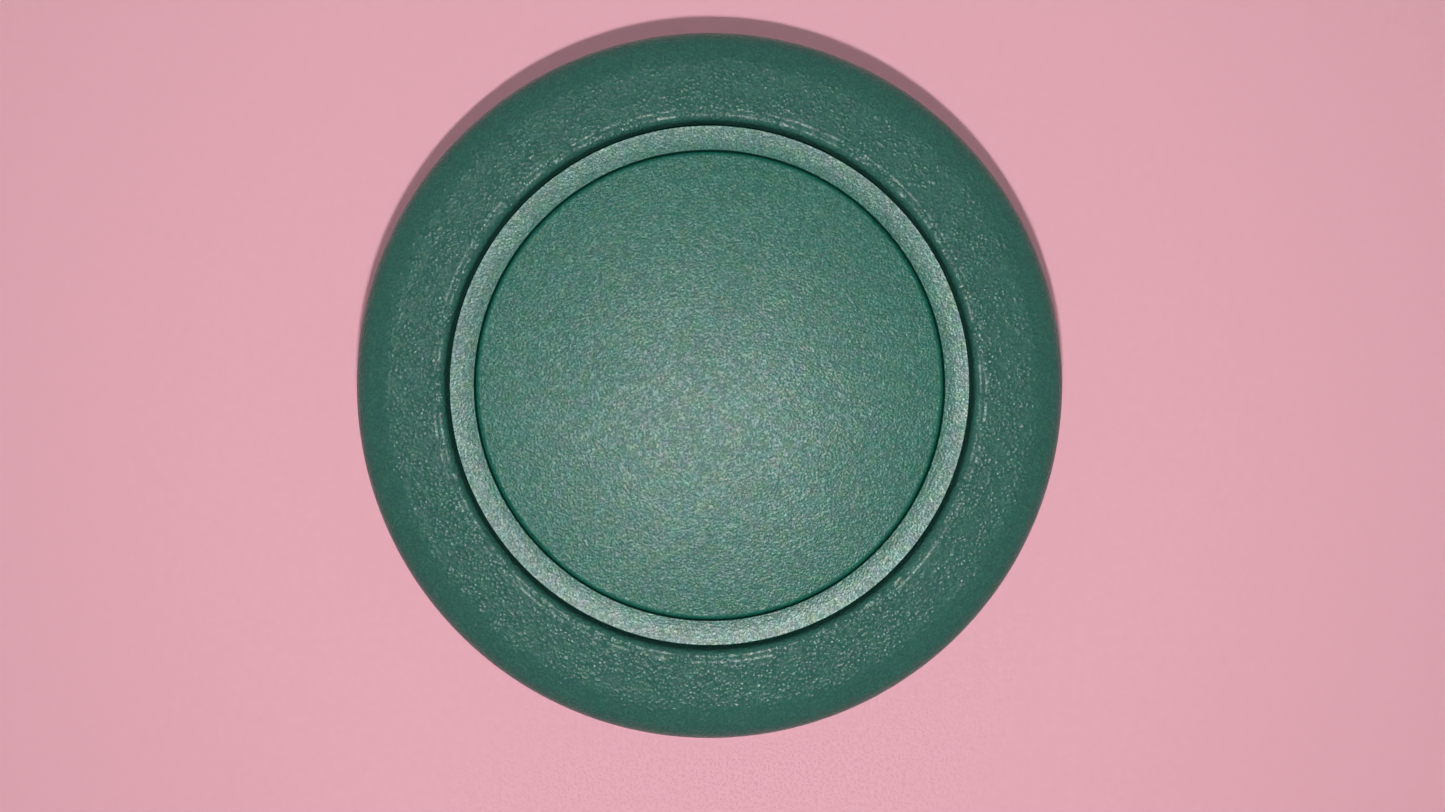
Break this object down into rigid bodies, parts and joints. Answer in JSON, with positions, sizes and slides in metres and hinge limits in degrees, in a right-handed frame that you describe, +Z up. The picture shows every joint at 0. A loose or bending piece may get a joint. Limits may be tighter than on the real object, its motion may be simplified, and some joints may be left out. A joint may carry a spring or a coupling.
{
  "type": "shaving soap puck case",
  "caption": "Round travel case for a shaving soap puck, with a screw-off lid, blank centre disc, dished trim ring, seal, inner cover and lift-out refill pot.",
  "frame": {"origin": "on the surface the case stands on, at the middle of its foot ring", "axes": "+Z up along the case's axis, towards the lid; X and Y are free, as the outside is round, and the thumb notches in the neck face +X and -X"},
  "size_m": [0.08, 0.08, 0.028],
  "materials": {
    "green_shell": "spark-eroded, satin",
    "green_ring": "spark-eroded, satin",
    "green_disc": "spark-eroded, satin",
    "inner_plastic": "satin polypropylene",
    "pot_plastic": "glossy polypropylene",
    "cover_plastic": "natural polypropylene",
    "silicone": "matt silicone",
    "foot_rubber": "matt elastomer",
    "tape": "double-sided foam tape",
    "soap": "hard tallow soap, slightly waxy"
  },
  "bodies": {
    "base": {"base_shell": "green_shell", "neck_collar": "inner_plastic", "foot_ring": "foot_rubber"},
    "pot": {"refill_pot": "pot_plastic"},
    "soap": {"soap_puck": "soap"},
    "cover": {"cover_disc": "cover_plastic"},
    "seal": {"seal_ring": "silicone"},
    "lid": {"lid_shell": "green_shell", "bezel_ring": "green_ring", "centre_disc": "green_disc", "disc_tape": "tape", "inner_cap": "inner_plastic"}
  },
  "joints": [
    {"name": "seal_lift", "type": "slide", "parent": "base", "child": "seal", "axis": [0, 0, 1], "range_m": [0, 0.06]},
    {"name": "lid_turn", "type": "hinge", "parent": "seal", "child": "lid", "pos_m": [0, 0, 0.0155], "axis": [0, 0, 1], "range_deg": [0, 1800]},
    {"name": "cover_lift", "type": "slide", "parent": "base", "child": "cover", "axis": [0, 0, 1], "range_m": [0, 0.039]},
    {"name": "soap_lift", "type": "slide", "parent": "base", "child": "soap", "axis": [0, 0, 1], "range_m": [0, 0.036]},
    {"name": "pot_lift", "type": "slide", "parent": "base", "child": "pot", "axis": [0, 0, 1], "range_m": [0, 0.018]}
  ],
  "couplings": [
    {"joint": "seal_lift", "follows": "lid_turn", "m_per_rad": 0.0019099},
    {"joint": "cover_lift", "follows": "lid_turn", "m_per_rad": 0.0012414},
    {"joint": "soap_lift", "follows": "lid_turn", "m_per_rad": 0.0011459},
    {"joint": "pot_lift", "follows": "lid_turn", "m_per_rad": 0.00057296}
  ]
}
